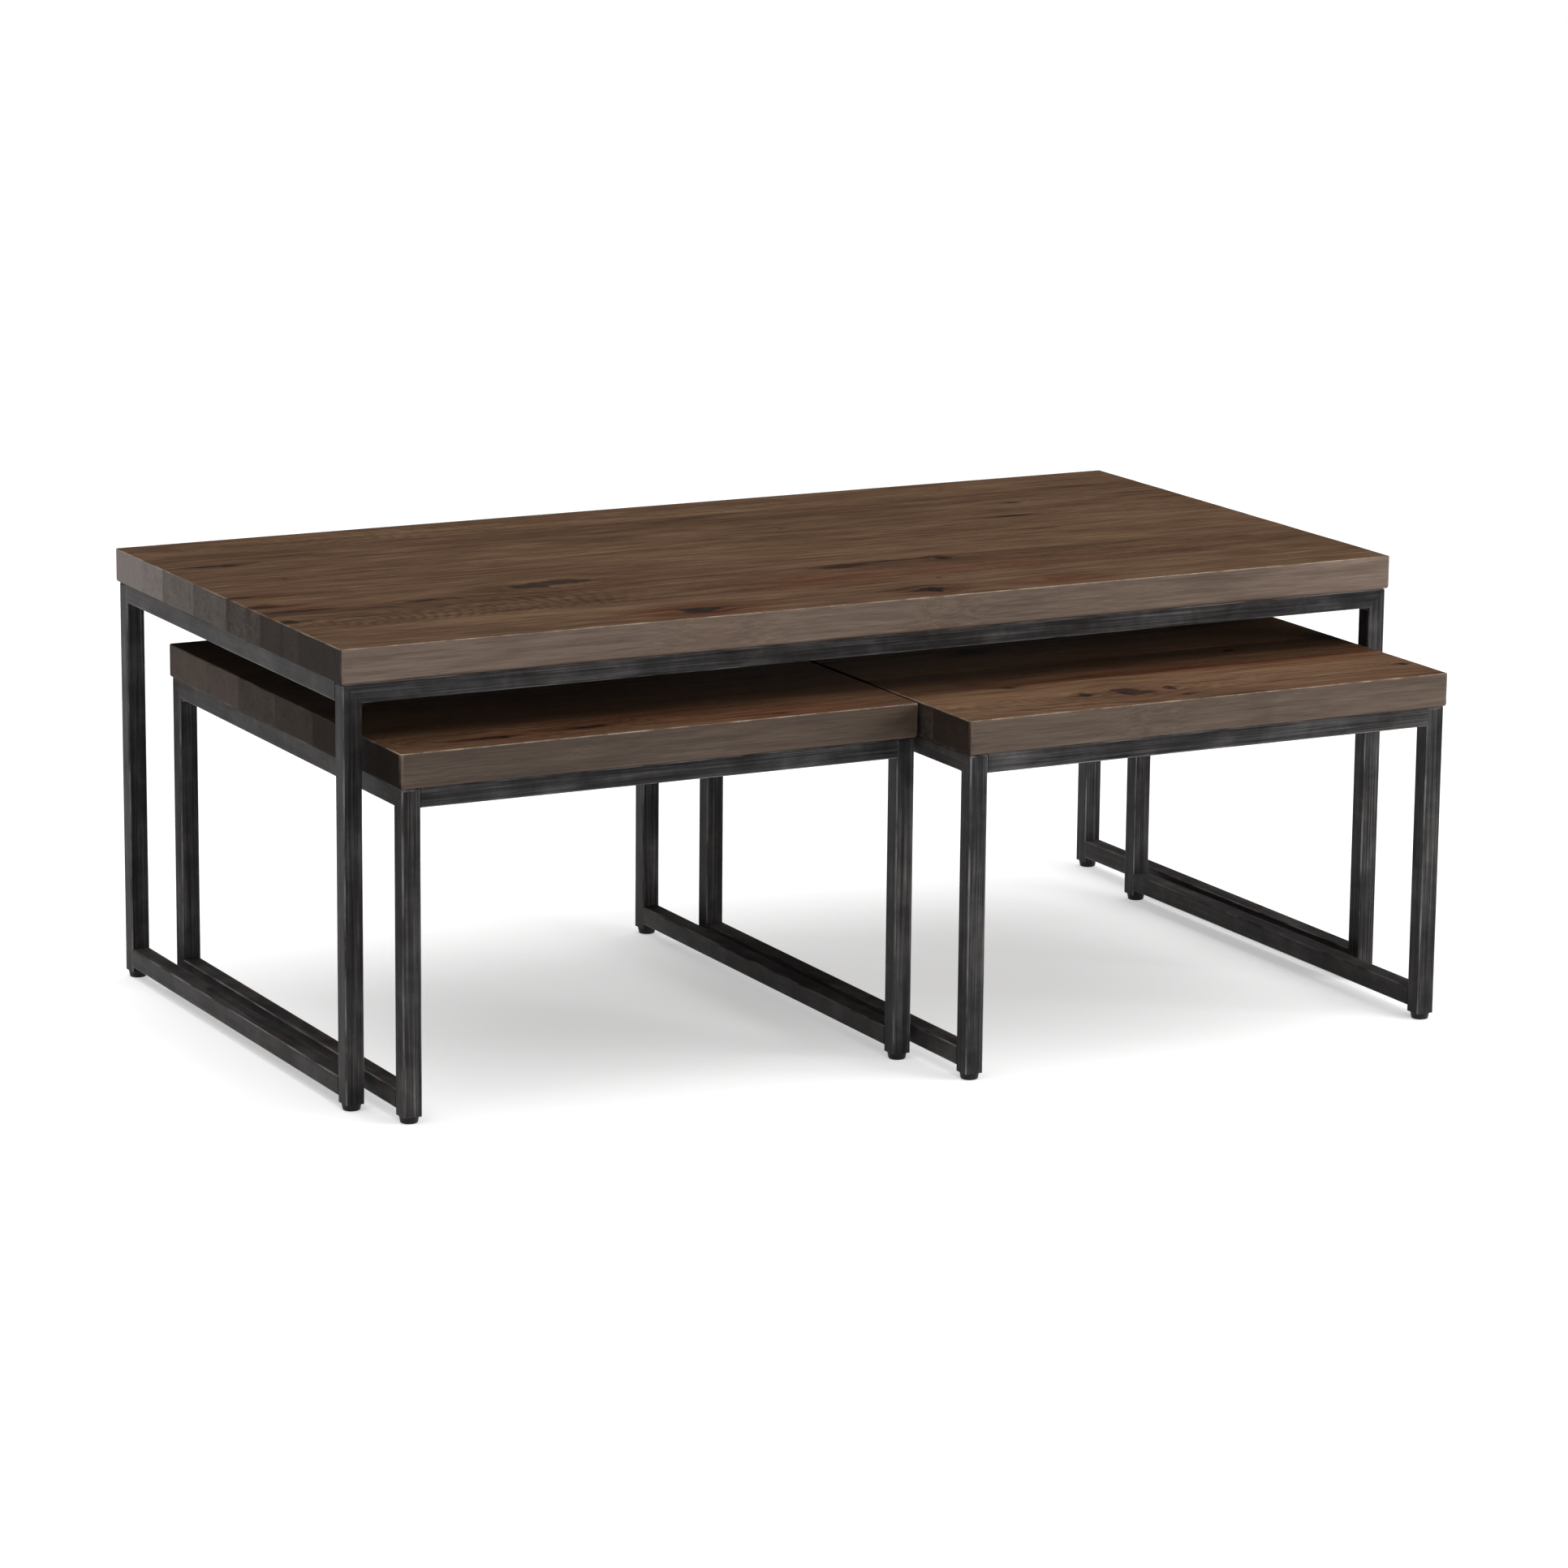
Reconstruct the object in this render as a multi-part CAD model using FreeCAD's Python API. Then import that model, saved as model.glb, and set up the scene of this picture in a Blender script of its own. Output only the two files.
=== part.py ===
"""A set of three nesting coffee tables: one long table and two small ones that slide out from under it.

Each table is a frame of welded square steel tube under a top of edge-glued oak staves.
The long table's front and back frames are mitred at the top corners, and its side rails butt between
them. The small tables are the other way round: their side frames are mitred, and the front and back
rails butt between them. Steel tabs inside the rails hold each top down with wood screws, and a plastic
glide plugs the end of each leg.

Millimetres, +Z up, +X to the right, -Y to the front, where the small tables come out. The origin is on
the floor, under the middle of the set as it stands with the small tables partly out.
"""

import FreeCAD
import Part
import os

from FreeCAD import Placement, Rotation, Vector

# Square tube
TUBE = 20.0
WALL = 1.5
TUBE_EDGE = 2.0
BORE_EDGE = 0.5
MITRE_CORNER = 4.0  # outside rounding of a mitred corner
WELD = 5.0  # leg length of the weld inside a mitred corner

# Tops
TOP_THICKNESS = 35.0
TOP_CORNER = 3.0
TOP_UNDER_EDGE = 2.5
TOP_UPPER_EDGE = 1.2

# Heights shared by all three frames
LEG_END = 7.0
BOTTOM_RAIL_UNDERSIDE = 12.5

# Tables: length along X, depth along Y, height, how far the top stands out past the frame
LARGE_LENGTH, LARGE_DEPTH, LARGE_HEIGHT, LARGE_OVERHANG = 1200.0, 600.0, 462.0, 3.0
SMALL_LENGTH, SMALL_DEPTH, SMALL_HEIGHT, SMALL_OVERHANG = 565.0, 600.0, 369.0, 2.5

# Stave widths, from the back edge to the front edge
LARGE_STAVES = (77.0, 58.0, 85.0, 88.0, 89.0, 99.0, 104.0)
LEFT_STAVES = (104.0, 88.0, 97.0, 96.0, 102.0, 113.0)
RIGHT_STAVES = (90.0, 102.0, 93.0, 95.0, 90.0, 55.0, 75.0)

# Where the small tables stand
LEFT_PULL = 65.0  # how far the left small table's front is ahead of the large one's
RIGHT_PULL = 163.0
MIDDLE_GAP = 4.0  # between the two small tops
LARGE_Y = RIGHT_PULL / 2
SMALL_X = (SMALL_LENGTH + MIDDLE_GAP) / 2
NESTED_Y = LARGE_Y - LARGE_DEPTH / 2 + SMALL_DEPTH / 2

# Fixing tabs and screws
TAB_LENGTH, TAB_WIDTH, TAB_THICKNESS, TAB_CORNER = 28.0, 24.0, 3.0, 5.0
TAB_HOLE_REACH = 17.0  # from the rail's inner face to the screw
TAB_HOLE_R = 2.4
SCREW_R = 2.0
SCREW_HEAD_R, SCREW_HEAD_HEIGHT, SCREW_HEAD_EDGE = 4.2, 2.6, 1.2
SCREW_IN_WOOD, SCREW_POINT = 22.0, 4.0
RECESS_LENGTH, RECESS_WIDTH, RECESS_DEPTH = 4.4, 1.0, 1.5

# Glides
GLIDE_TOP_R, GLIDE_FOOT_R, GLIDE_ROUNDING = 10.0, 8.6, 1.4
PLUG_CLEARANCE, PLUG_HEIGHT, PLUG_LEAD_IN = 0.1, 15.0, 0.4

MARGIN = 1.0  # how far a cutting solid reaches past what it cuts
UP = Vector(0, 0, 1)


def block(x0, x1, y0, y1, z0, z1):
    return Part.makeBox(x1 - x0, y1 - y0, z1 - z0, Vector(x0, y0, z0))


def long_edges(solid, direction):
    """The straight edges of a solid that run along a direction."""
    return [e for e in solid.Edges if abs(e.tangentAt(e.FirstParameter).dot(direction)) > 0.99]


def joined(first, *others):
    """Solids made into one."""
    solids = first.fuse(list(others)).removeSplitter().Solids
    assert len(solids) == 1
    return solids[0]


def square_bar(side, edge, length):
    """A square bar along +Z from the origin, with rounded long edges."""
    bar = block(-side / 2, side / 2, -side / 2, side / 2, 0, length)
    return bar.makeFillet(edge, long_edges(bar, UP))


def tube(start, direction, length):
    """A square tube from a point, along a direction."""
    outside = square_bar(TUBE, TUBE_EDGE, length)
    bore = square_bar(TUBE - 2 * WALL, BORE_EDGE, length)
    shape = outside.cut(bore)
    shape.Placement = Placement(start, Rotation(UP, direction))
    return shape


def in_plane(axis, along, across, z):
    """A point from its place along a frame, across it, and up. The frame runs along axis x or y."""
    return Vector(along, across, z) if axis == "x" else Vector(across, along, z)


def prism(axis, corners, middle):
    """A prism across a frame's tube, over the polygon of (along, z) corners."""
    reach = TUBE / 2 + MARGIN
    points = [in_plane(axis, along, middle - reach, z) for along, z in corners]
    face = Part.Face(Part.makePolygon(points + points[:1]))
    return face.extrude(in_plane(axis, 0, 2 * reach, 0))


def across_cylinder(axis, along, middle, z, radius, width):
    start = in_plane(axis, along, middle - width / 2, z)
    return Part.makeCylinder(radius, width, start, in_plane(axis, 0, 1, 0))


def corner_shaver(axis, side, outer, middle, top):
    """What rounds the outside of a mitred corner. side is -1 or 1, outer the frame's half length."""
    width = TUBE + 2 * MARGIN
    inner = outer - MITRE_CORNER
    corners = [(side * a, z) for a, z in (
        (inner, top - MITRE_CORNER),
        (outer + MARGIN, top - MITRE_CORNER),
        (outer + MARGIN, top + MARGIN),
        (inner, top + MARGIN),
    )]
    round_off = across_cylinder(axis, side * inner, middle, top - MITRE_CORNER, MITRE_CORNER, width)
    return prism(axis, corners, middle).cut(round_off)


def corner_weld(axis, side, inner, middle, under):
    """The hollow-faced weld in the angle between a leg's inner face and a rail's underside."""
    width = TUBE - 2 * TUBE_EDGE
    near = in_plane(axis, side * inner, middle - width / 2, under)
    far = in_plane(axis, side * (inner - WELD), middle + width / 2, under - WELD)
    low = [min(a, b) for a, b in zip(near, far)]
    high = [max(a, b) for a, b in zip(near, far)]
    filled = block(low[0], high[0], low[1], high[1], low[2], high[2])
    hollow = across_cylinder(axis, side * (inner - WELD), middle, under - WELD, WELD, TUBE)
    return filled.cut(hollow)


def mitred_leg(axis, side, leg, middle, top):
    """A leg cut at 45 degrees under a mitred rail, with the corner's weld. leg is its place along."""
    outer, inner = leg + TUBE / 2, leg - TUBE / 2
    shape = tube(in_plane(axis, side * leg, middle, LEG_END), UP, top - LEG_END)
    above_mitre = [(side * a, z) for a, z in (
        (inner - MARGIN, top - TUBE - MARGIN),
        (outer + MARGIN, top + MARGIN),
        (inner - MARGIN, top + MARGIN),
    )]
    shape = shape.cut(prism(axis, above_mitre, middle))
    shape = shape.cut(corner_shaver(axis, side, outer, middle, top))
    return joined(shape, corner_weld(axis, side, inner, middle, top - TUBE))


def mitred_rail(axis, leg, middle, top):
    """The rail of a mitred frame, over the whole length between the legs' outer faces."""
    outer, inner = leg + TUBE / 2, leg - TUBE / 2
    start = in_plane(axis, -outer, middle, top - TUBE / 2)
    shape = tube(start, in_plane(axis, 1, 0, 0), 2 * outer)
    for side in (-1, 1):
        below_mitre = [(side * a, z) for a, z in (
            (inner - MARGIN, top - TUBE - MARGIN),
            (outer + MARGIN, top + MARGIN),
            (outer + MARGIN, top - TUBE - MARGIN),
        )]
        shape = shape.cut(prism(axis, below_mitre, middle))
        shape = shape.cut(corner_shaver(axis, side, outer, middle, top))
    return shape


def butt_rail(axis, leg, middle, underside):
    """A rail with square ends, between the inner faces of two legs."""
    half = leg - TUBE / 2
    return tube(in_plane(axis, -half, middle, underside + TUBE / 2), in_plane(axis, 1, 0, 0), 2 * half)


def frame_pieces(leg_x, leg_y, top, mitred_axis):
    """Every tube of a table's frame, named, about the table's middle."""
    pieces = {}
    for side_y, end in ((-1, "front"), (1, "back")):
        for side_x, hand in ((-1, "left"), (1, "right")):
            if mitred_axis == "x":
                leg = mitred_leg("x", side_x, leg_x, side_y * leg_y, top)
            else:
                leg = mitred_leg("y", side_y, leg_y, side_x * leg_x, top)
            pieces[f"leg_{end}_{hand}"] = leg
        if mitred_axis == "x":
            pieces[f"{end}_rail"] = mitred_rail("x", leg_x, side_y * leg_y, top)
        else:
            pieces[f"{end}_rail"] = butt_rail("x", leg_x, side_y * leg_y, top - TUBE)
    for side_x, hand in ((-1, "left"), (1, "right")):
        if mitred_axis == "x":
            pieces[f"{hand}_top_rail"] = butt_rail("y", leg_y, side_x * leg_x, top - TUBE)
        else:
            pieces[f"{hand}_top_rail"] = mitred_rail("y", leg_y, side_x * leg_x, top)
        pieces[f"{hand}_bottom_rail"] = butt_rail("y", leg_y, side_x * leg_x, BOTTOM_RAIL_UNDERSIDE)
    return pieces


def glide():
    """A push-in glide: a tapered round foot under a square plug."""
    foot = Part.makeCone(GLIDE_FOOT_R, GLIDE_TOP_R, LEG_END)
    foot = foot.makeFillet(GLIDE_ROUNDING, [e for e in foot.Edges if e.BoundBox.ZMax < 0.01])
    side = TUBE - 2 * WALL - 2 * PLUG_CLEARANCE
    plug = square_bar(side, BORE_EDGE, PLUG_HEIGHT)
    upper = [e for e in plug.Edges if e.CenterOfMass.z > PLUG_HEIGHT - 0.01]
    plug = plug.makeChamfer(PLUG_LEAD_IN, upper)
    plug.translate(Vector(0, 0, LEG_END))
    return joined(foot, plug)


def screw():
    """A pan-head wood screw standing upright, with the underside of its head at the origin."""
    head = Part.makeCylinder(SCREW_HEAD_R, SCREW_HEAD_HEIGHT, Vector(0, 0, -SCREW_HEAD_HEIGHT))
    rim = [e for e in head.Edges if e.CenterOfMass.z < -SCREW_HEAD_HEIGHT + 0.01]
    head = head.makeFillet(SCREW_HEAD_EDGE, rim)
    for length, width in ((RECESS_LENGTH, RECESS_WIDTH), (RECESS_WIDTH, RECESS_LENGTH)):
        bottom = -SCREW_HEAD_HEIGHT - MARGIN
        head = head.cut(block(-length / 2, length / 2, -width / 2, width / 2,
                              bottom, RECESS_DEPTH - SCREW_HEAD_HEIGHT))
    shank_length = TAB_THICKNESS + SCREW_IN_WOOD - SCREW_POINT
    shank = Part.makeCylinder(SCREW_R, shank_length)
    point = Part.makeCone(SCREW_R, 0, SCREW_POINT, Vector(0, 0, shank_length))
    return joined(head, shank, point)


def tab():
    """A fixing tab from a rail's inner face along +X, with its upper face at z = 0."""
    plate = block(0, TAB_LENGTH, -TAB_WIDTH / 2, TAB_WIDTH / 2, -TAB_THICKNESS, 0)
    free_corners = [e for e in long_edges(plate, UP) if e.CenterOfMass.x > TAB_LENGTH - 0.01]
    plate = plate.makeFillet(TAB_CORNER, free_corners)
    hole = Part.makeCylinder(TAB_HOLE_R, TAB_THICKNESS, Vector(TAB_HOLE_REACH, 0, -TAB_THICKNESS))
    return plate.cut(hole)


def tab_places(leg_x, leg_y, along_front, side_y):
    """(x, y, turn) of each tab: where it meets its rail, and the turn from +X that points it inward."""
    face_x, face_y = leg_x - TUBE / 2, leg_y - TUBE / 2
    front = [(x, -face_y, 90) for x in along_front]
    back = [(x, face_y, -90) for x in along_front]
    return front + back + [(-face_x, side_y, 0), (face_x, side_y, 180)]


def fixings(places, top):
    """The tabs and the screws of one table, each as a list of separate solids."""
    tabs, screws = [], []
    for x, y, turn in places:
        spin = Rotation(UP, turn)
        plate = tab()
        plate.Placement = Placement(Vector(x, y, top), spin)
        fastener = screw()
        reach = spin.multVec(Vector(TAB_HOLE_REACH, 0, 0))
        fastener.Placement = Placement(Vector(x, y, top - TAB_THICKNESS) + reach, spin)
        tabs.append(plate)
        screws.append(fastener)
    return tabs, screws


def top_staves(length, depth, under, widths, screws):
    """The top as separate staves, from the back to the front, with the screws' holes in them."""
    upper = under + TOP_THICKNESS
    whole = block(-length / 2, length / 2, -depth / 2, depth / 2, under, upper)
    whole = whole.makeFillet(TOP_CORNER, long_edges(whole, UP))
    whole = whole.makeFillet(TOP_UNDER_EDGE, [e for e in whole.Edges if e.BoundBox.ZMax < under + 0.01])
    whole = whole.makeFillet(TOP_UPPER_EDGE, [e for e in whole.Edges if e.BoundBox.ZMin > upper - 0.01])
    staves, back = [], depth / 2
    for width in widths:
        outer_back = back + (MARGIN if not staves else 0)
        outer_front = back - width - (MARGIN if len(staves) == len(widths) - 1 else 0)
        slab = block(-length, length, outer_front, outer_back, under - MARGIN, upper + MARGIN)
        stave = whole.common(slab)
        for fastener in screws:
            if outer_front < fastener.CenterOfMass.y < outer_back:
                stave = stave.cut(fastener)
        staves.append(stave)
        back -= width
    return staves


def table(name, size, overhang, widths, mitred_axis, tabs_along_front, place):
    """Every node of one table, moved to where the table stands."""
    length, depth, height = size
    leg_x = length / 2 - overhang - TUBE / 2
    leg_y = depth / 2 - overhang - TUBE / 2
    under = height - TOP_THICKNESS
    middle_stave = len(widths) // 2
    side_y = depth / 2 - sum(widths[:middle_stave]) - widths[middle_stave] / 2

    nodes = {f"{name}_{piece}": shape for piece, shape in
             frame_pieces(leg_x, leg_y, under, mitred_axis).items()}
    tabs, screws = fixings(tab_places(leg_x, leg_y, tabs_along_front, side_y), under)
    for number, stave in enumerate(top_staves(length, depth, under, widths, screws), 1):
        nodes[f"{name}_top_stave_{number}"] = stave
    glides = []
    for side_x in (-1, 1):
        for side_y in (-1, 1):
            foot = glide()
            foot.translate(Vector(side_x * leg_x, side_y * leg_y, 0))
            glides.append(foot)
    nodes[f"{name}_fixing_tabs"] = Part.makeCompound(tabs)
    nodes[f"{name}_top_screws"] = Part.makeCompound(screws)
    nodes[f"{name}_glides"] = Part.makeCompound(glides)
    for shape in nodes.values():
        shape.translate(place)
    return nodes


def main():
    large = (LARGE_LENGTH, LARGE_DEPTH, LARGE_HEIGHT)
    small = (SMALL_LENGTH, SMALL_DEPTH, SMALL_HEIGHT)
    large_tabs = (-LARGE_LENGTH / 3, 0, LARGE_LENGTH / 3)
    small_tabs = (-SMALL_LENGTH / 4, SMALL_LENGTH / 4)
    nodes = table("large", large, LARGE_OVERHANG, LARGE_STAVES, "x", large_tabs,
                  Vector(0, LARGE_Y, 0))
    nodes.update(table("left_small", small, SMALL_OVERHANG, LEFT_STAVES, "y", small_tabs,
                       Vector(-SMALL_X, NESTED_Y - LEFT_PULL, 0)))
    nodes.update(table("right_small", small, SMALL_OVERHANG, RIGHT_STAVES, "y", small_tabs,
                       Vector(SMALL_X, NESTED_Y - RIGHT_PULL, 0)))
    os.makedirs("parts", exist_ok=True)
    for name, shape in nodes.items():
        assert shape.isValid() and shape.Volume > 0, name
        shape.exportStep(f"parts/{name}.step")
    print(len(nodes), "nodes")


main()
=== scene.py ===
import math

import bpy
import numpy as np
from mathutils import Matrix, Vector


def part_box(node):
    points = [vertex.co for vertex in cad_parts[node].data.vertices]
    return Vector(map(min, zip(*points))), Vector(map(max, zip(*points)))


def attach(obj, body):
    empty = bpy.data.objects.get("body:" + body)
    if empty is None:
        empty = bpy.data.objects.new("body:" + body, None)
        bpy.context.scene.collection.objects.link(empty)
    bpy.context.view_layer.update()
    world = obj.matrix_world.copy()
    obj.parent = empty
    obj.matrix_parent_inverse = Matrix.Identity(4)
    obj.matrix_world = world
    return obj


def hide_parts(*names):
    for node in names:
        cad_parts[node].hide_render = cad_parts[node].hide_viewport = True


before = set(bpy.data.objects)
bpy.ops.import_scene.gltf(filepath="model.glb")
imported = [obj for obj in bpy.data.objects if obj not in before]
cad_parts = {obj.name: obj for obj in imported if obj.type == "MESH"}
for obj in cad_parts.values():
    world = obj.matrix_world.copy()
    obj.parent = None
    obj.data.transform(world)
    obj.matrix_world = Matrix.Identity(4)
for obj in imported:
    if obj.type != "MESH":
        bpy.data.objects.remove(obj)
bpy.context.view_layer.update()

MM = 0.001

# ---------------------------------------------------------------- boards of the tops

# What shows in each top, in millimetres from its left end and its back edge.
# Knots: (x, y, half length, half width, darkness, depth)
KNOTS = {
    "large": (
        (306, 375, 22, 14, 0.80, 0.5), (346, 369, 26, 13, 0.62, 0.2),
        (47, 140, 17, 4, 0.85, 0.4), (70, 143, 10, 5, 0.75, 0.3),
        (12, 314, 17, 5, 0.70, 0.3), (14, 366, 20, 9, 0.55, 0.2), (20, 402, 24, 4, 0.85, 0.4),
        (8, 451, 10, 9, 0.70, 0.2), (172, 403, 17, 5, 0.80, 0.3), (94, 235, 3, 4, 0.60, 0.2),
        (636, 416, 17, 7, 0.60, 0.2), (700, 404, 36, 2.5, 0.60, 0.2), (764, 411, 9, 11, 0.75, 0.3),
        (404, 563, 22, 13, 0.90, 0.5), (669, 564, 12, 13, 1.00, 0.6), (821, 564, 22, 9, 0.35, 0.1),
        (962, 221, 26, 5, 0.80, 0.3), (1000, 147, 11, 5, 0.65, 0.2), (706, 509, 3, 3, 0.70, 0.2),
        (690, 186, 3, 4, 0.50, 0.1), (1118, 430, 14, 3, 0.40, 0.1),
    ),
    "left_small": (
        (107, 566, 13, 4, 0.90, 0.4), (122, 570, 8, 3, 0.75, 0.3), (217, 561, 14, 4, 0.90, 0.4),
        (330, 250, 20, 9, 0.80, 0.3), (80, 130, 14, 10, 0.70, 0.3), (470, 420, 18, 7, 0.70, 0.3),
        (418, 583, 9, 3, 0.40, 0.1),
    ),
    "right_small": (
        (168, 537, 6, 9, 0.75, 0.5), (215, 540, 13, 17, 0.80, 0.9), (230, 551, 12, 7, 0.60, 0.6),
        (265, 541, 6, 10, 0.80, 0.6), (265, 575, 5, 5, 0.65, 0.3), (115, 474, 7, 5, 0.75, 0.3),
        (88, 447, 3, 4, 0.50, 0.2), (420, 403, 9, 4, 0.90, 0.4), (548, 541, 4, 6, 0.85, 0.4),
        (170, 300, 24, 11, 0.80, 0.3), (380, 130, 16, 9, 0.75, 0.3), (330, 596, 30, 5, 0.30, 0.1),
    ),
}
# Cracks along the grain: (x start, y start, x end, y end, half width, depth)
CRACKS = {
    "large": (
        (296, 377, 322, 372, 0.9, 1.2), (392, 566, 418, 560, 1.0, 1.2), (662, 568, 678, 560, 1.0, 1.4),
        (940, 222, 984, 220, 0.7, 0.8), (1000, 144, 1112, 143, 0.5, 0.5), (34, 141, 62, 139, 0.8, 1.0),
        (2, 402, 40, 403, 0.9, 1.0), (660, 403, 735, 404, 0.5, 0.6), (158, 402, 186, 404, 0.7, 0.8),
    ),
    "left_small": ((94, 567, 122, 565, 0.8, 1.0), (204, 562, 232, 560, 0.8, 1.0)),
    "right_small": (
        (208, 528, 224, 556, 1.2, 1.8), (262, 560, 552, 556, 0.9, 1.0), (414, 404, 430, 402, 0.8, 0.8),
        (163, 541, 172, 533, 0.9, 1.0), (262, 546, 269, 535, 0.9, 1.0),
    ),
}
# Broad stains: (x, y, half length, half width, redness, darkness)
STAINS = {
    "large": (
        (404, 563, 80, 26, 0.9, 0.35), (669, 564, 52, 18, 0.5, 0.30), (821, 564, 48, 16, 0.7, 0.20),
        (330, 372, 60, 24, 0.1, 0.10), (30, 384, 60, 26, 0.6, 0.35), (590, 470, 110, 30, 0.9, 0.05),
        (330, 402, 150, 9, 0.5, 0.30), (700, 412, 130, 16, 0.3, 0.25), (40, 315, 60, 14, 0.5, 0.25),
        (800, 470, 130, 24, 0.4, 0.10), (180, 520, 130, 18, -0.4, -0.25), (1000, 350, 160, 30, 0.1, 0.10),
    ),
    "left_small": (
        (420, 580, 90, 20, 0.6, 0.10), (160, 566, 90, 14, 0.4, 0.15), (300, 540, 120, 20, 0.5, 0.20),
    ),
    "right_small": (
        (250, 460, 150, 12, 0.6, 0.30), (440, 475, 120, 10, 0.5, 0.25), (216, 541, 90, 24, 0.3, 0.15),
        (120, 520, 90, 26, -0.5, -0.20), (400, 540, 140, 14, -0.2, -0.10), (460, 590, 100, 10, 0.3, 0.20),
    ),
}
# Boards whose growth rings show as waves: (millimetres from the top's back edge to the pith at the left
# end, millimetres from the surface down to it, its rise for each unit of length, ring spacing in
# millimetres, strength)
WAVES = {
    ("large", 1): (34, 22, -0.24, 5.0, 0.06),
    ("large", 6): (458, 20, -0.34, 5.2, 0.17),
    ("left_small", 6): (560, 60, 0.10, 3.6, 0.14),
    ("right_small", 7): (566, 90, 0.12, 3.8, 0.10),
}
# How much lighter than the others each board is
TONES = {
    "large": (0.03, -0.06, 0.0, 0.02, 0.05, -0.02, 0.04),
    "left_small": (0.0, 0.1, -0.1, 0.05, -0.1, 0.0),
    "right_small": (0.0, 0.1, -0.1, 0.05, -0.15, 0.15, 0.1),
}
# The same for the boards' left ends: painted light towards the back and painted shade towards the front, in
# steps from board to board where the end grain took the stain unevenly
LEFT_END_PAINTED_LIGHT_AND_SHADE = {
    "large": (0.50, 0.42, 0.24, 0.16, 0.06, -0.04, -0.16),
    "left_small": (0.32, 0.28, 0.16, 0.08, -0.10, -0.36),
    "right_small": (0.20, 0.10, 0.12, 0.04, 0.0, 0.06, -0.06),
}
# The rounding of the top edges, of the under edges and of the outline's corners
ROUND_TOP, ROUND_UNDER, ROUND_CORNER = 1.3 * MM, 2.5 * MM, 3.2 * MM
# The mesh has a grid line this far past a rounding, so that the flat face beyond it shades flat
FLAT_FROM = 0.5 * MM
SEAM_DEPTH, SEAM_HALF = 0.22 * MM, 0.9 * MM
# How far under the upper face the knots, cracks and seams fade out
SKIN = 2 * MM
# How much of its depth a knot or a crack is sunk
SUNK = 0.5
# Spacing of the mesh's grid lines, away from the knots and near them, and the least that is kept
GRID_X, GRID_Y = 10 * MM, 5 * MM
FINE_X, FINE_Y = 2.2 * MM, 1.0 * MM
CLOSEST = 0.18 * MM
# Faces whose normal has less than this much Z belong to the long sides or the ends
STEEP = 0.75
# Edges that turn by more than this are shaded as sharp
SHARP = math.radians(50)
# Decimals that grid positions are rounded to, what counts as the same place, and as nothing
PLACES = 7
SAME = 1e-6
TINY = 1e-9


def smooth(a, b, v):
    t = np.clip((v - a) / (b - a), 0, 1)
    return t * t * (3 - 2 * t)


def bell(a, b):
    return np.exp(-a ** 2 - b ** 2)


def waves(rng, reach, count, shortest):
    """A smooth random curve, as a function: so many sine waves that add up to at most reach."""
    lengths = shortest * rng.uniform(1, 5, count)
    phases = rng.uniform(0, 2 * math.pi, count)
    sizes = rng.uniform(0.4, 1, count) * lengths
    sizes *= reach / sizes.sum()

    def curve(v):
        return sum(s * np.sin(2 * math.pi * v / n + p) for s, n, p in zip(sizes, lengths, phases))
    return curve


def lines(lo, hi, step, edges, fine, fine_step):
    """Grid lines from lo to hi with extra ones at the edges, and the same with more over the fine spans."""
    slack = 10 ** -PLACES
    count = max(1, round((hi - lo) / step))
    coarse = np.unique(np.round(np.concatenate([np.linspace(lo, hi, count + 1), edges]), PLACES))
    coarse = coarse[(coarse >= lo - slack) & (coarse <= hi + slack)]
    extra = [np.arange(max(a, lo), min(b, hi), fine_step) for a, b in fine if min(b, hi) > max(a, lo)]
    full = np.unique(np.round(np.concatenate([coarse, *extra]), PLACES))
    keep = [0]
    for n in range(1, len(full)):
        close = full[n] - full[keep[-1]] < CLOSEST
        if not close or full[n] in coarse:
            if close and full[keep[-1]] not in coarse:
                keep.pop()
            keep.append(n)
    return coarse, full[keep]


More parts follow.
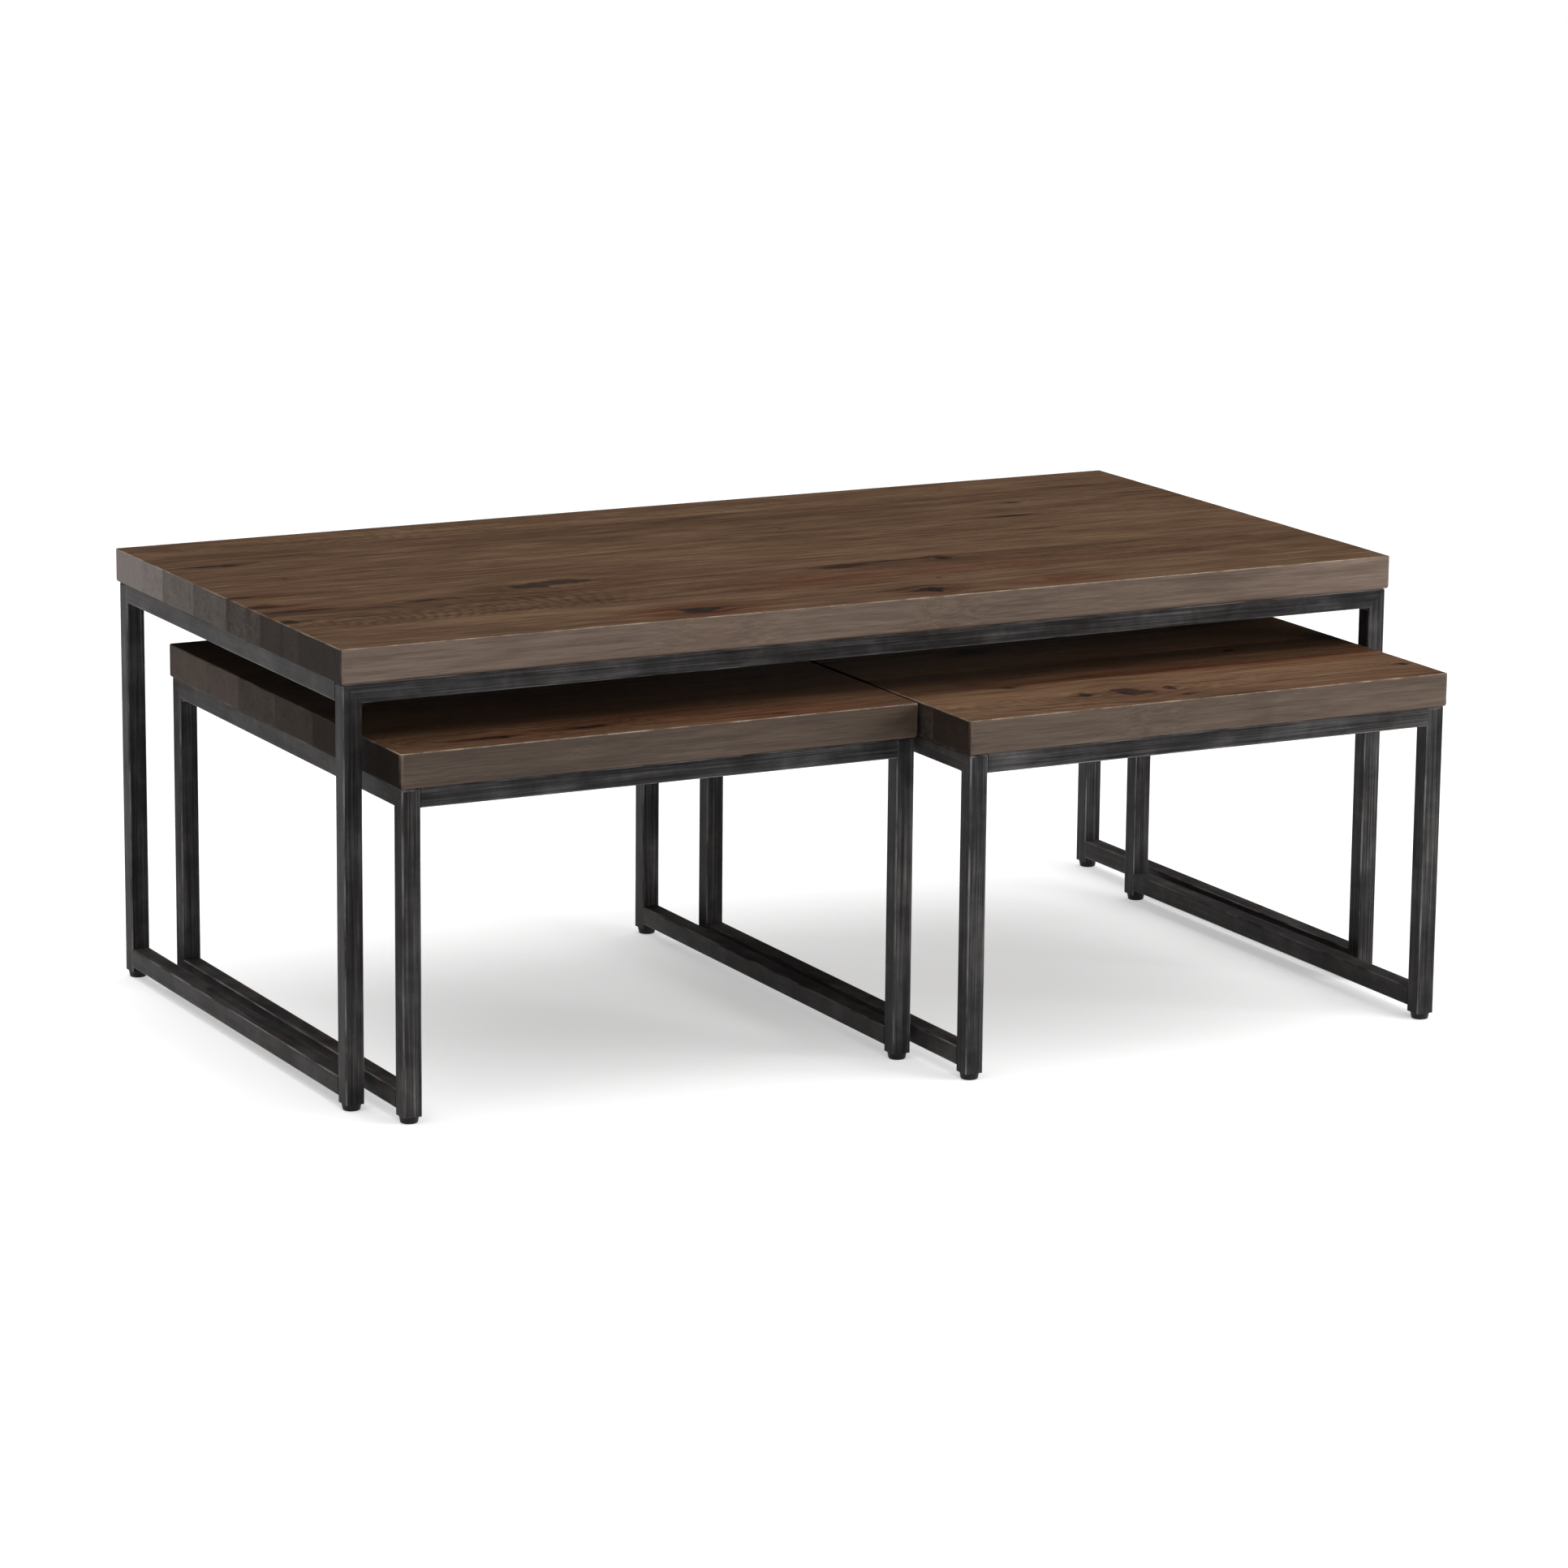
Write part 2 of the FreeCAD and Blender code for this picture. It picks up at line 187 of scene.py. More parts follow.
class Board:
    """One board of a top: a closed mesh with real seams, knots and cracks, and its grain as attributes."""

    def __init__(self, table, number, top_lo, top_hi, seed):
        self.table, self.number = table, number
        self.lo, self.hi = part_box(f"{table}_top_stave_{number}")
        self.top_lo, self.top_hi = top_lo, top_hi
        self.rng = np.random.default_rng(seed)
        # the first board has the top's back edge, the last one its front edge
        self.first = abs(self.hi.y - top_hi.y) < SAME
        self.last = abs(self.lo.y - top_lo.y) < SAME

    def spot(self, x, y):
        """A place given in millimetres from the top's left end and back edge, in the frame."""
        return self.top_lo.x + x * MM, self.top_hi.y - y * MM

    def meets(self, y, reach):
        return self.lo.y - reach < y < self.hi.y + reach

    def near(self, features, widths):
        """The knots or stains within so many half widths of this board, with their places in the frame."""
        for x, y, half_x, half_y, *rest in features[self.table]:
            x, y = self.spot(x, y)
            if self.meets(y, widths * half_y * MM):
                yield x, y, half_x, half_y, *rest

    def cracks_near(self, reach):
        """The cracks that start within reach of this board, in the frame."""
        for x, y, x_end, y_end, half, depth in CRACKS[self.table]:
            x, y = self.spot(x, y)
            if self.meets(y, reach):
                yield x, y, *self.spot(x_end, y_end), half * MM, depth * MM

    def lattice(self):
        """The grid lines of the two halves: the upper half is fine near knots, the lower half is plain."""
        lo, hi = self.lo, self.hi
        spans_x, spans_y = [], []
        for x, y, half_x, half_y, _, _ in self.near(KNOTS, 1):
            reach_x, reach_y = 1.5 * half_x * MM, 1.5 * half_y * MM
            spans_x.append((x - reach_x, x + reach_x))
            spans_y.append((y - reach_y, y + reach_y))
        for _, y, _, y_end, _, _ in self.cracks_near(0):
            spans_y.append((min(y, y_end) - 2 * MM, max(y, y_end) + 2 * MM))
        steps = [0.3 * ROUND_TOP, ROUND_TOP, 0.7 * ROUND_UNDER, ROUND_UNDER, ROUND_CORNER,
                 ROUND_CORNER + FLAT_FROM]
        ends = [lo.x + step for step in steps] + [hi.x - step for step in steps]
        sides = [lo.y + SEAM_HALF, hi.y - SEAM_HALF]
        if self.first:
            sides += [hi.y - step for step in steps]
        if self.last:
            sides += [lo.y + step for step in steps]
        xs = lines(lo.x, hi.x, GRID_X, ends, spans_x, FINE_X)
        ys = lines(lo.y, hi.y, GRID_Y, sides, spans_y, FINE_Y)
        middle = (lo.z + hi.z) / 2
        lower = [lo.z, lo.z + 0.3 * ROUND_UNDER, lo.z + ROUND_UNDER, lo.z + ROUND_UNDER + FLAT_FROM,
                 lo.z + 9 * MM, middle - 3 * MM]
        upper = [middle + 3 * MM, hi.z - 8 * MM, hi.z - ROUND_TOP - FLAT_FROM, hi.z - ROUND_TOP,
                 hi.z - 0.3 * ROUND_TOP, hi.z]
        return xs, ys, lower, upper

    def shell(self):
        """Vertices and faces of the closed board, before its relief."""
        (cx, fx), (cy, fy), lower, upper = self.lattice()
        index, points, faces = {}, [], []

        def at(x, y, z):
            key = (round(x * 10 ** PLACES), round(y * 10 ** PLACES), round(z * 10 ** PLACES))
            if key not in index:
                index[key] = len(points)
                points.append((x, y, z))
            return index[key]

        for xs, ys, z, up in ((fx, fy, upper[-1], True), (cx, cy, lower[0], False)):
            grid = [[at(x, y, z) for y in ys] for x in xs]
            for a, b in zip(grid, grid[1:]):
                for j in range(len(ys) - 1):
                    quad = (a[j], b[j], b[j + 1], a[j + 1])
                    faces.append(quad if up else quad[::-1])

        def ring(xs, ys, z):
            """The board's outline at one height, side by side, counterclockwise from above."""
            return (
                [at(x, ys[0], z) for x in xs], [at(xs[-1], y, z) for y in ys],
                [at(x, ys[-1], z) for x in xs[::-1]], [at(xs[0], y, z) for y in ys[::-1]],
            )

        def joined(row_under, row_over):
            """Faces from a coarse row up to a fine one, which has all the coarse row's places and more."""
            axis = 0 if abs(points[row_under[0]][0] - points[row_under[-1]][0]) > SAME else 1
            for a, b in zip(row_under, row_under[1:]):
                low, high = sorted((points[a][axis], points[b][axis]))
                span = [n for n in row_over if low - SAME <= points[n][axis] <= high + SAME]
                yield (a, b, *span[::-1])

        rings = [ring(cx, cy, z) for z in lower] + [ring(fx, fy, z) for z in upper]
        for level, (under, over) in enumerate(zip(rings, rings[1:])):
            for row_under, row_over in zip(under, over):
                if level == len(lower) - 1:
                    faces.extend(joined(row_under, row_over))
                    continue
                for j in range(len(row_under) - 1):
                    faces.append((row_under[j], row_under[j + 1], row_over[j + 1], row_over[j]))
        return np.array(points), faces

    def rounded(self, p):
        """Points of the plain block moved onto the top's rounded outer edges, and which points those are."""
        share = (p[:, 2] - self.lo.z) / (self.hi.z - self.lo.z)
        r = ROUND_UNDER + (ROUND_TOP - ROUND_UNDER) * smooth(0.25, 0.75, share)
        low, high = np.array(self.top_lo), np.array(self.top_hi)
        # how far each point is inside the outline, and from the nearer of top and underside
        inside = np.minimum(p - low, high - p)
        depth_in, depth_z = inside[:, :2].min(axis=1), inside[:, 2]
        far_in, far_z = np.maximum(r - depth_in, 0), np.maximum(r - depth_z, 0)
        size = np.maximum(np.hypot(far_in, far_z), TINY)
        bent = (far_in > TINY) & (far_z > TINY)
        new_in = np.where(bent, r - far_in * r / size, depth_in)
        new_z = np.where(bent, r - far_z * r / size, depth_z)
        # the outline itself has round corners of its own radius
        core = np.clip(p[:, :2], low[:2] + ROUND_CORNER, high[:2] - ROUND_CORNER)
        away = p[:, :2] - core
        length = np.linalg.norm(away, axis=1)
        scale = np.where(length > TINY, (ROUND_CORNER - new_in) / np.maximum(length, TINY), 1)
        moved = p.copy()
        moved[:, :2] = core + away * scale[:, None]
        moved[:, 2] = np.where(share > 0.5, high[2] - new_z, low[2] + new_z)
        corner = (np.abs(away) > TINY).all(axis=1) & (depth_in < r)
        return moved, bent | corner

    def knots(self):
        """Where the knots, their hearts and their halos are, and how far they push the grain aside."""
        x, y, top = self.x, self.y, self.top
        knot, heart, halo, push = np.full(len(x), -1.0), np.zeros(len(x)), np.zeros(len(x)), np.zeros(len(x))
        for kx, ky, half_x, half_y, dark, depth in self.near(KNOTS, 3):
            half_x, half_y, depth = half_x * MM, half_y * MM, depth * MM
            # the outline is an uneven oval, which off measures from 0 at its middle to 1
            turn = np.arctan2((y - ky) / half_y, (x - kx) / half_x)
            bumps = 1 + 0.14 * np.sin(3 * turn + kx * 90) + 0.08 * np.sin(5 * turn + ky * 130)
            off = np.hypot((x - kx) / half_x, (y - ky) / half_y) / bumps
            knot = np.maximum(knot, 1.15 - off)
            heart = np.maximum(heart, dark * (off < 2) * (0.35 + 0.65 * top))
            tail = bell((x - kx) / (2.6 * half_x), (y - ky) / (1.3 * half_y))
            halo = np.maximum(halo, tail * dark * top)
            # the grain is drawn together and bends round it
            push -= 0.72 * (y - ky) * bell((x - kx) / (2.4 * half_x), (y - ky) / (2.6 * half_y))
            self.relief -= SUNK * top * depth * (1 - smooth(0.2, 1.0, off))
        return knot, heart, halo, push

    def cracks(self):
        """Where the open cracks are."""
        x, y, top = self.x, self.y, self.top
        crack = np.zeros(len(x))
        for ax, ay, bx, by, half, depth in self.cracks_near(2 * MM):
            along = np.clip((x - ax) / (bx - ax), 0, 1)
            wander = 0.6 * MM * np.sin(x * 210 + ay * 50) * np.sin(math.pi * along)
            line = ay + (by - ay) * along + wander
            past = np.maximum(0, np.maximum(min(ax, bx) - x, x - max(ax, bx)))
            wide = half * (0.35 + 0.65 * np.sin(math.pi * along)) + 0.15 * MM
            off = np.hypot(y - line, past) / wide
            deep = (1 - smooth(0.4, 1.9, off)) * top
            crack = np.maximum(crack, deep)
            self.relief -= SUNK * deep * depth
        return crack

    def growth(self, bent):
        """Growth rings about a pith that wanders along the board, and how clearly they show."""
        x, rng = self.x, self.rng
        if (self.table, self.number) in WAVES:
            from_back, under, rise, spacing, strength = WAVES[self.table, self.number]
            pith_x, pith_y = self.spot(0, from_back)
            pith_z = self.hi.z - under * MM
            spacing *= MM
            figure = strength * (1 - smooth(0.30, 0.42, x - pith_x)) + 0.05
        else:
            side = rng.choice((-1, 1))
            pith_x, pith_y = (self.lo.x + self.hi.x) / 2, (self.lo.y + self.hi.y) / 2
            pith_y += side * (self.hi.y - self.lo.y) * rng.uniform(0.3, 1.1)
            pith_z = self.hi.z - rng.uniform(0.05, 0.11)
            rise, spacing = rng.uniform(-0.05, 0.05), rng.uniform(2.4, 3.8) * MM
            figure = np.full(len(x), 0.06)
        sway_y, sway_z = waves(rng, 9 * MM, 4, 0.12), waves(rng, 5 * MM, 4, 0.10)
        soft = waves(rng, 4.5 * MM, 6, 0.022)
        dy = bent - pith_y - sway_y(x)
        dz = self.z - pith_z - rise * (x - pith_x) - sway_z(x)
        radius = np.hypot(dy, dz) + soft(x + bent * 2.3)
        # the count stays above zero all over the board
        return radius / spacing + 40, figure

    def stains_and_painted_end_light(self, bent):
        """How red and how light the wood is, and how light the board's ends are, with painted light and
        shade on their left ends.
        """
        x, rng = self.x, self.rng
        red, tone = np.zeros(len(x)), np.full(len(x), TONES[self.table][self.number - 1])
        for sx, sy, half_x, half_y, redness, darkness in self.near(STAINS, 2):
            share = bell((x - sx) / (half_x * MM), (bent - sy) / (half_y * MM))
            red += redness * share
            tone -= 0.55 * darkness * share
        shade = waves(rng, 0.06, 4, 0.15)
        tone += shade(x + 3 * self.y)
        # the left ends get painted light at the back and painted shade at the front
        left, right = LEFT_END_PAINTED_LIGHT_AND_SHADE[self.table][self.number - 1], rng.uniform(-0.1, 0.2)
        return red, tone, np.where(x < (self.lo.x + self.hi.x) / 2, left, right)

    def seams(self):
        """Sinks the seams between boards, and makes the surface not quite flat."""
        y, top = self.y, self.top
        for edge, open_side in ((self.hi.y, self.first), (self.lo.y, self.last)):
            if not open_side:
                self.relief -= top * SEAM_DEPTH * (1 - smooth(0, SEAM_HALF, np.abs(y - edge)))
        height = 0.10 * MM
        swell = waves(self.rng, height, 3, 0.09)
        from_edge = np.minimum(y - self.lo.y, self.hi.y - y)
        self.relief += top * (swell(self.x + 2 * y) - height) * smooth(0, 6 * MM, from_edge)

    def build(self, materials):
        """The finished board, with materials for its faces, its long sides and its ends."""
        block, faces = self.shell()
        points, worn = self.rounded(block)
        self.x, self.y, self.z = block.T
        self.top = np.clip((self.z - (self.hi.z - SKIN)) / SKIN, 0, 1)
        self.relief = np.zeros(len(block))

        knot, heart, halo, push = self.knots()
        crack = self.cracks()
        bent = self.y + push
        rings, figure = self.growth(bent)
        red, tone, cap = self.stains_and_painted_end_light(bent)
        self.seams()
        points[:, 2] += self.relief
        share = (self.z - self.lo.z) / (self.hi.z - self.lo.z)
        worn = worn * (0.3 * smooth(0.1, 0.3, share) + 0.7 * self.top)
        shift = self.rng.uniform(-5, 5, 3)
        grain = np.stack([self.x + shift[0], bent + shift[1], self.z + shift[2]], axis=1)

        name = f"{self.table}_top_board_{self.number}"
        mesh = bpy.data.meshes.new(name)
        mesh.from_pydata([tuple(p) for p in points], [], faces)
        mesh.validate()
        fields = {"rings": rings, "knot": knot, "heart": heart, "halo": halo, "crack": crack,
                  "tone": tone, "cap": cap, "red": red, "worn": worn, "figure": figure}
        for label, values in fields.items():
            attribute = mesh.attributes.new(label, "FLOAT", "POINT")
            attribute.data.foreach_set("value", values.astype(np.float32))
        attribute = mesh.attributes.new("grain", "FLOAT_VECTOR", "POINT")
        attribute.data.foreach_set("vector", grain.astype(np.float32).ravel())
        for material in materials:
            mesh.materials.append(material)
        for polygon in mesh.polygons:
            polygon.use_smooth = True
            facing = [abs(v) for v in polygon.normal]
            if facing[2] < STEEP:
                polygon.material_index = 1 if facing[1] > facing[0] else 2
        mesh.set_sharp_from_angle(angle=SHARP)
        piece = bpy.data.objects.new(name, mesh)
        bpy.context.collection.objects.link(piece)
        return piece


# ---------------------------------------------------------------- materials

class Nodes:
    """A short way to write a node tree."""

    def __init__(self, name):
        self.material = bpy.data.materials.new(name)
        self.material.use_nodes = True
        self.tree = self.material.node_tree
        self.tree.nodes.clear()
        out = self.tree.nodes.new("ShaderNodeOutputMaterial")
        self.shader = self.tree.nodes.new("ShaderNodeBsdfPrincipled")
        self.tree.links.new(self.shader.outputs[0], out.inputs["Surface"])

    def put(self, socket, value):
        """Links the value to the socket, or sets it there if it is a plain one."""
        if isinstance(value, bpy.types.NodeSocket):
            self.tree.links.new(value, socket)
        else:
            socket.default_value = value

    def attribute(self, name, output="Fac"):
        node = self.tree.nodes.new("ShaderNodeAttribute")
        node.attribute_name = name
        return node.outputs[output]

    def place(self):
        return self.tree.nodes.new("ShaderNodeTexCoord").outputs["Object"]

    def math(self, operation, a, b=0.0, c=0.0, clamp=False):
        node = self.tree.nodes.new("ShaderNodeMath")
        node.operation, node.use_clamp = operation, clamp
        for socket, value in zip(node.inputs, (a, b, c)):
            self.put(socket, value)
        return node.outputs[0]

    def varied(self, value, noise, amount, clamp=False):
        """The value, raised and lowered by the noise."""
        return self.math("MULTIPLY_ADD", self.math("SUBTRACT", noise, 0.5), amount, value, clamp)

    def scaled(self, vector, scale, offset=(0, 0, 0)):
        node = self.tree.nodes.new("ShaderNodeVectorMath")
        node.operation = "MULTIPLY_ADD"
        self.put(node.inputs[0], vector)
        node.inputs[1].default_value, node.inputs[2].default_value = scale, offset
        return node.outputs[0]

    def noise(self, vector, detail, rough, distortion=0.0):
        node = self.tree.nodes.new("ShaderNodeTexNoise")
        self.put(node.inputs["Vector"], vector)
        node.inputs["Scale"].default_value = 1.0
        node.inputs["Detail"].default_value = detail
        node.inputs["Roughness"].default_value = rough
        node.inputs["Distortion"].default_value = distortion
        return node.outputs["Fac"]

    def remap(self, value, a, b, c, d, smoothly=False):
        node = self.tree.nodes.new("ShaderNodeMapRange")
        node.interpolation_type = "SMOOTHSTEP" if smoothly else "LINEAR"
        for socket, v in zip(node.inputs, (value, a, b, c, d)):
            self.put(socket, v)
        return node.outputs[0]

    def ramp(self, value, stops):
        node = self.tree.nodes.new("ShaderNodeValToRGB")
        elements = node.color_ramp.elements
        while len(elements) < len(stops):
            elements.new(0.5)
        for element, (place, colour) in zip(elements, stops):
            element.position = place
            element.color = (*colour, 1)
        self.put(node.inputs[0], value)
        return node.outputs["Color"]

    def mix(self, share, a, b, blend="MIX"):
        node = self.tree.nodes.new("ShaderNodeMix")
        node.data_type, node.blend_type = "RGBA", blend
        self.put(node.inputs["Factor"], share)
        sockets = [s for s in node.inputs if s.type == "RGBA"]
        for socket, value in zip(sockets, (a, b)):
            self.put(socket, (*value, 1) if isinstance(value, tuple) else value)
        return next(s for s in node.outputs if s.type == "RGBA")

    def bump(self, height, strength, distance):
        node = self.tree.nodes.new("ShaderNodeBump")
        self.put(node.inputs["Height"], height)
        node.inputs["Strength"].default_value = strength
        node.inputs["Distance"].default_value = distance
        return node.outputs[0]

    def set(self, **values):
        for name, value in values.items():
            self.put(self.shader.inputs[name.replace("_", " ")], value)
        return self.material


# The colours of a knot from its heart outwards, of an open crack and of bare wood at a worn edge
KNOT_COLOURS = ((0.05, (0.0050, 0.0022, 0.0010)), (0.30, (0.0150, 0.0062, 0.0027)),
                (0.58, (0.044, 0.0190, 0.0085)))
CRACK_COLOUR = (0.002, 0.0015, 0.001)
BARE_WOOD = (0.26, 0.205, 0.16)


def oak(name, dark, middle, light, red, contrast, gloss, figure=1.0, rough_from=0.40, end=False):
    """Stained oak under satin lacquer. The boards' meshes carry their grain, knots and cracks."""
    n = Nodes(name)
    grain = n.attribute("grain", "Vector")
    halo, crack = n.attribute("halo"), n.attribute("crack")

    def noise(along, across, detail, rough, offset=(0, 0, 0), distortion=0.0):
        """Noise of so many waves per metre along the grain and across it."""
        return n.noise(n.scaled(grain, (along, across, across), offset), detail, rough, distortion)

    band = noise(2.2, 24, 2, 0.5)
    streak = noise(5, 58, 3, 0.62, (4, 1, 6))
    thread = noise(12, 155, 3, 0.68, (2, 5, 8))
    fibre = noise(14, 500, 2, 0.6, (9, 2, 3))
    pores = n.remap(noise(42, 1500, 1, 0.5), 0.60, 0.72, 0, 1, True)

    # the dark late wood of each growth ring, which shows more in some patches than in others
    wobble = n.math("MULTIPLY_ADD", streak, 0.7, n.math("MULTIPLY", thread, 0.4))
    phase = n.math("FRACT", n.math("ADD", n.attribute("rings"), wobble))
    rise, fall = n.remap(phase, 0.30, 0.78, 0, 1, True), n.remap(phase, 0.88, 1.0, 1, 0, True)
    late = n.math("MULTIPLY", rise, fall)
    patchy = n.remap(noise(2.2, 9, 1, 0.5, (7, 3, 1)), 0.35, 0.65, 0.5, 1.0)
    strength = n.math("MULTIPLY", patchy, n.math("MULTIPLY", n.attribute("figure"), figure))

    value = n.varied(0.52, fibre, 0.80 * contrast)
    value = n.varied(value, thread, 0.80 * contrast)
    value = n.varied(value, streak, 0.50 * contrast)
    value = n.varied(value, band, 0.25 * contrast)
    # a few darker lines that run further along the grain
    vein = n.remap(noise(3.4, 110, 2, 0.5, (1, 8, 2)), 0.60, 0.70, 0, 0.14, True)
    value = n.math("SUBTRACT", value, n.math("MULTIPLY", vein, contrast))
    value = n.math("SUBTRACT", value, n.math("MULTIPLY", late, strength))
    # on the ends, the cap adds painted light and shade to the left ends, lighter at the back and darker at
    # the front
    value = n.math("ADD", value, n.attribute("cap" if end else "tone"))
    value = n.math("SUBTRACT", value, n.math("MULTIPLY", halo, n.remap(thread, 0.35, 0.62, 0.44, 0.14)))
    value = n.math("MULTIPLY_ADD", pores, -0.16, value, clamp=True)
    colour = n.ramp(value, ((0.0, dark), (0.5, middle), (1.0, light)))

    blush = n.math("MULTIPLY", n.attribute("red"), n.remap(band, 0.3, 0.7, 0.5, 1.0), clamp=True)
    reddened = n.mix(1.0, colour, red, "MULTIPLY")
    colour = n.mix(n.math("MULTIPLY", blush, 0.85), colour, reddened)

    # a knot's edge is ragged, its heart nearly black
    whorl = noise(110, 300, 3, 0.6, distortion=1.0)
    ragged = n.varied(n.attribute("knot"), whorl, 0.75)
    inside = n.ramp(n.math("MULTIPLY_ADD", whorl, 0.7, n.math("MULTIPLY", ragged, -0.5)), KNOT_COLOURS)
    covered = n.math("MULTIPLY", n.remap(ragged, 0.02, 0.24, 0, 1, True), n.attribute("heart"), clamp=True)
    colour = n.mix(covered, colour, inside)
    colour = n.mix(crack, colour, CRACK_COLOUR)
    wear = n.remap(noise(45, 25, 3, 0.6), 0.40, 0.66, 0.08, 0.75)
    colour = n.mix(n.math("MULTIPLY", n.attribute("worn"), wear, clamp=True), colour, BARE_WOOD)

    height = n.math("MULTIPLY_ADD", thread, 0.5, n.math("MULTIPLY", late, 0.25))
    height = n.math("MULTIPLY_ADD", fibre, 0.4, height)
    height = n.math("MULTIPLY_ADD", pores, -0.6, height)
    rough = n.remap(thread, 0.3, 0.7, rough_from, rough_from + 0.14)
    rough = n.math("MULTIPLY_ADD", crack, 0.4, rough, clamp=True)
    n.set(Base_Color=colour, Roughness=rough, Normal=n.bump(height, 0.45, 0.25 * MM))
    return n.set(Specular_IOR_Level=gloss, IOR=1.46)


# The colours of the steel from its darkest streaks to its lightest, the tint of its brown patches, and
# for the rounded edges a painted highlight that is also the bare metal of a rubbed edge
STEEL_COLOURS = ((0.0, (0.003, 0.003, 0.0031)), (0.40, (0.021, 0.0206, 0.0210)),
                 (0.70, (0.056, 0.0550, 0.0562)), (1.0, (0.16, 0.158, 0.16)))
BROWN_TINT = (1.18, 0.92, 0.78)
BARE_STEEL_AND_HIGHLIGHT = (0.20, 0.198, 0.196)


def steel(name, along, streaks, brownness):
    """Dark steel tube, brushed along its length (0, 1 or 2 for x, y or z), under satin lacquer."""
    n = Nodes(name)
    place = n.place()

    def noise(lengthwise, across, detail, rough):
        """Noise of so many waves per metre along the tube and across it."""
        scale = [across] * 3
        scale[along] = lengthwise
        return n.noise(n.scaled(place, tuple(scale)), detail, rough)

    fine = noise(8, 900, 3, 0.68)
    broad = noise(4.5, 330, 3, 0.65)
    patch = noise(9, 34, 3, 0.55)
    smear = n.noise(n.scaled(place, (26, 26, 26)), 4, 0.6, 0.4)
    value = n.varied(0.44, fine, 1.3 * streaks)
    value = n.varied(value, broad, 1.2 * streaks)
    # here and there lighter patches, partly a rubbed finish and partly painted highlights
    value = n.math("ADD", value, n.remap(noise(6, 18, 2, 0.5), 0.54, 0.74, 0, 0.12, True))
    value = n.varied(value, patch, 0.55)
    value = n.varied(value, smear, 0.60, clamp=True)
    colour = n.ramp(value, STEEL_COLOURS)
    cloud = n.noise(n.scaled(place, (13, 13, 13), (3, 9, 4)), 2, 0.5)
    brown = n.remap(cloud, 0.44, 0.66, 0.4 * brownness, brownness, True)
    colour = n.mix(brown, colour, n.mix(1.0, colour, BROWN_TINT, "MULTIPLY"))

    # the flat sides face along the axes, so a slanting normal means a rounded edge, which gets a painted
    # highlight and rubbed bare metal
    geometry = n.tree.nodes.new("ShaderNodeNewGeometry")
    split = n.tree.nodes.new("ShaderNodeSeparateXYZ")
    n.put(split.inputs[0], geometry.outputs["Normal"])
    sizes = [n.math("ABSOLUTE", s) for s in split.outputs]
    largest = n.math("MAXIMUM", n.math("MAXIMUM", sizes[0], sizes[1]), sizes[2])
    edge = n.remap(largest, 0.985, 0.90, 0, 1, True)
    rub_and_highlight = n.remap(noise(14, 60, 3, 0.6), 0.42, 0.66, 0.08, 0.85)
    colour = n.mix(n.math("MULTIPLY", edge, rub_and_highlight), colour, BARE_STEEL_AND_HIGHLIGHT)
    rough = n.remap(broad, 0.3, 0.7, 0.40, 0.56)
    height = n.math("MULTIPLY_ADD", fine, 0.6, n.math("MULTIPLY", broad, 0.4))
    n.set(Base_Color=colour, Roughness=rough, Normal=n.bump(height, 0.25, 0.15 * MM))
    return n.set(Metallic=0.2, Specular_IOR_Level=0.06)


def plastic(name):
    """Black moulded plastic with a fine grain."""
    n = Nodes(name)
    fine = n.noise(n.scaled(n.place(), (900, 900, 900)), 2, 0.5)
    scuff = n.noise(n.scaled(n.place(), (90, 90, 240)), 4, 0.65)
    colour = n.ramp(scuff, ((0.35, (0.004, 0.004, 0.0043)), (0.60, (0.009, 0.009, 0.009)),
                            (0.85, (0.028, 0.027, 0.026))))
    n.set(Base_Color=colour, Roughness=n.remap(scuff, 0.3, 0.7, 0.38, 0.58), Specular_IOR_Level=0.2)
    return n.set(Normal=n.bump(fine, 0.3, 0.1 * MM))


def zinc(name):
    """Zinc-plated screw."""
    n = Nodes(name)
    cloud = n.noise(n.scaled(n.place(), (420, 420, 420)), 3, 0.6)
    colour = n.ramp(cloud, ((0.3, (0.30, 0.29, 0.26)), (0.7, (0.55, 0.54, 0.50))))
    n.set(Base_Color=colour, Roughness=n.remap(cloud, 0.3, 0.7, 0.25, 0.45), Metallic=1.0)
    return n.set(Normal=n.bump(cloud, 0.15, 0.1 * MM))


def paper(name):
    """The floor's plain pale surface, with a glow that keeps it white away from the shadows."""
    n = Nodes(name)
    n.set(Base_Color=(0.56, 0.56, 0.56, 1), Roughness=0.42, Specular_IOR_Level=0.12)
    return n.set(Emission_Color=(1, 1, 1, 1), Emission_Strength=0.465)


# The tint of reddened wood on the boards' faces, long sides and ends
BROWN_FACE_RED, RED_FACE_RED = (1.30, 0.74, 0.52), (1.35, 0.68, 0.46)
SIDE_RED, END_RED = (1.12, 0.92, 0.85), (1.10, 0.92, 0.85)
